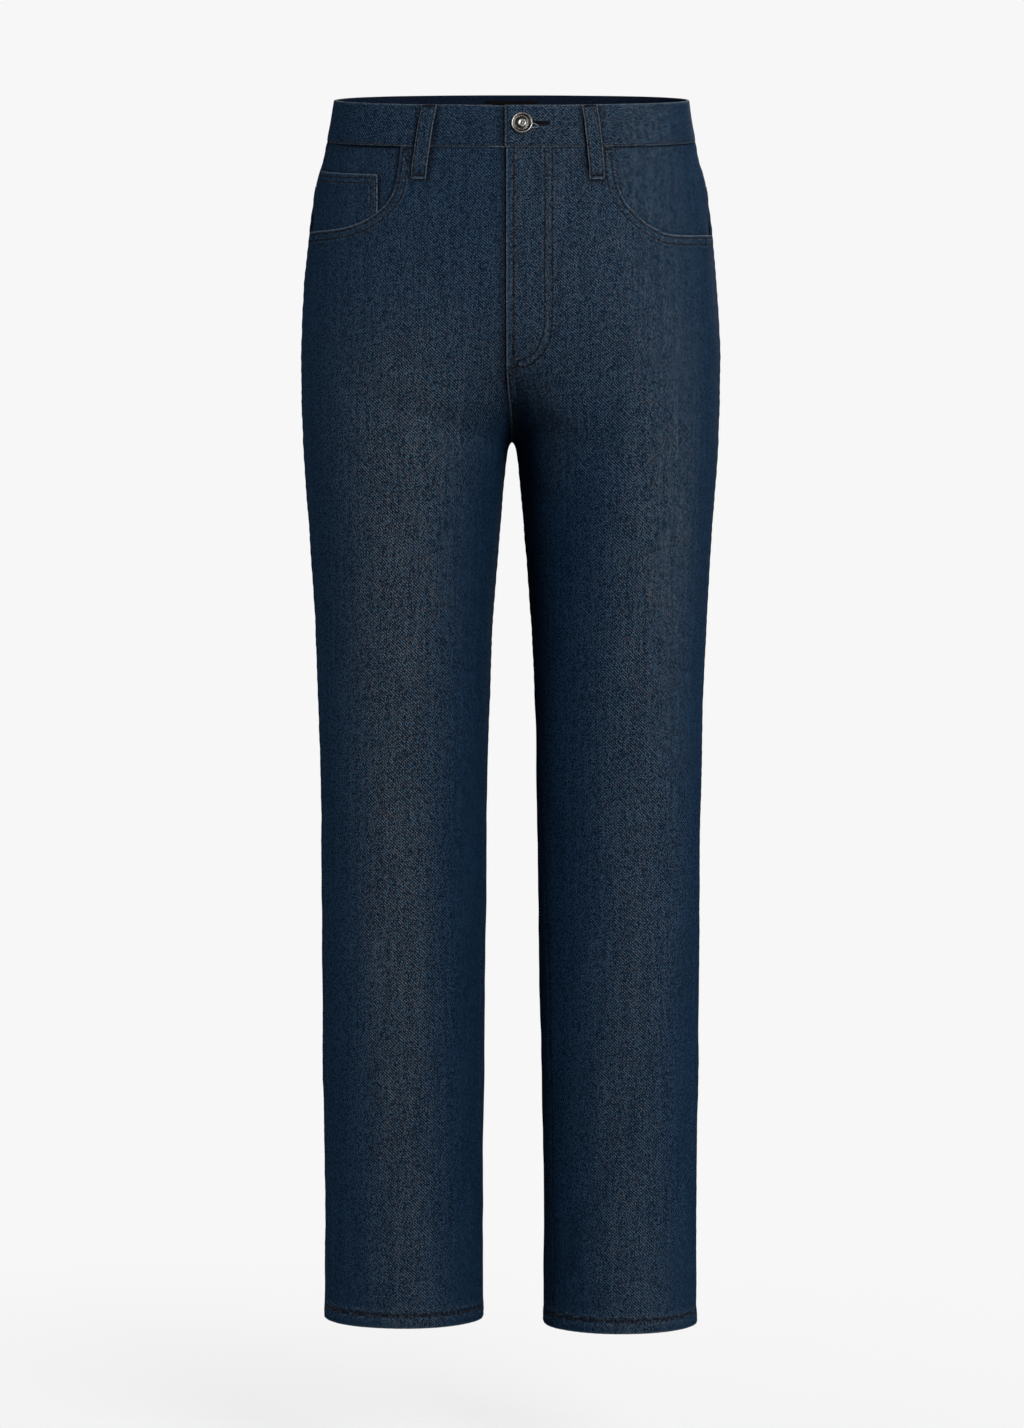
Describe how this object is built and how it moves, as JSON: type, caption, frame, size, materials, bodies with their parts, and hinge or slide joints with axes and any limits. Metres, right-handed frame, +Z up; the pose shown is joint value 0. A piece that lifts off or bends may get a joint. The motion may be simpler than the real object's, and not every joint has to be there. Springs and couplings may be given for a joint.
{
  "type": "straight leg jeans",
  "caption": "Straight leg jeans, filled out as worn: fastened waistband with belt loops, scooped front pockets, coin pocket, zip fly, back yoke and patch pockets.",
  "frame": {"origin": "Centre of the waist opening, in the plane of the waistband's top edge at the side seams, where a wearer's waist or a hanger holds the jeans.", "axes": "+Z up along the body, -Y the front of the jeans, +X the wearer's left, in metres."},
  "size_m": [0.345, 0.2459, 1.0235],
  "materials": {
    "denim": "dark indigo cotton twill, matt, faint blue sheen at a glancing angle",
    "label_cloth": "black woven tape, blank",
    "zip_tape": "dark woven tape with closed teeth",
    "button_metal": "silver coloured stamped metal with a ring of plain dots"
  },
  "bodies": {
    "root": {"back_left": "denim", "back_pocket_left": "denim", "back_pocket_right": "denim", "back_right": "denim", "belt_loop_1": "denim", "belt_loop_2": "denim", "belt_loop_3": "denim", "belt_loop_4": "denim", "belt_loop_5": "denim", "button": "button_metal", "coin_pocket": "denim", "fly_shield": "denim", "front_left": "denim", "front_right": "denim", "label": "label_cloth", "pocket_facing_left": "denim", "pocket_facing_right": "denim", "waistband": "denim", "yoke_left": "denim", "yoke_right": "denim", "zip": "zip_tape"}
  },
  "joints": []
}
